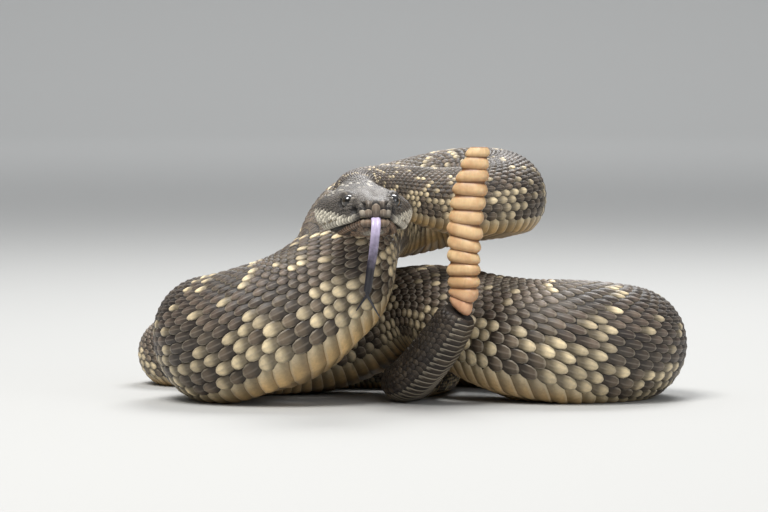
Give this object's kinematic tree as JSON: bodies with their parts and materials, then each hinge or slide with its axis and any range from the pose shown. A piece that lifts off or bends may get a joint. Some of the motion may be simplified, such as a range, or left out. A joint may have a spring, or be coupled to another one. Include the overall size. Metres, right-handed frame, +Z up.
{
  "type": "pacific rattlesnake",
  "caption": "Still, life-size rattlesnake in an alert coil, head raised and facing the viewer, tongue out and rattle held upright.",
  "frame": {"origin": "middle of the coil's bounding box in plan, at the level of the floor that the belly rests on", "axes": "+X to the viewer's right when the head faces the viewer, +Y away from the viewer, +Z up"},
  "size_m": [0.1906, 0.1806, 0.0864],
  "materials": {
    "scales": "dry keeled scales, grey-brown with cream edges, satin sheen",
    "crown": "fine dusty grey-brown head scales with cream lips",
    "dark_tail": "blackish brown scales with fine pale edges",
    "eye": "wet, glossy, with an upright slit pupil",
    "tongue": "moist, lilac at the root and black at the fork",
    "horn": "dry, tan, slightly translucent horn"
  },
  "bodies": {
    "root": {"head": "crown", "eye_left": "eye", "eye_right": "eye", "tongue": "tongue", "neck": "scales", "upper_loop": "scales", "front_coil": "scales", "left_turn": "scales", "middle_coil": "scales", "right_turn": "scales", "back_coil": "scales", "hind_turn": "scales", "inner_coil": "scales", "tail": "dark_tail", "rattle": "horn"}
  },
  "joints": []
}
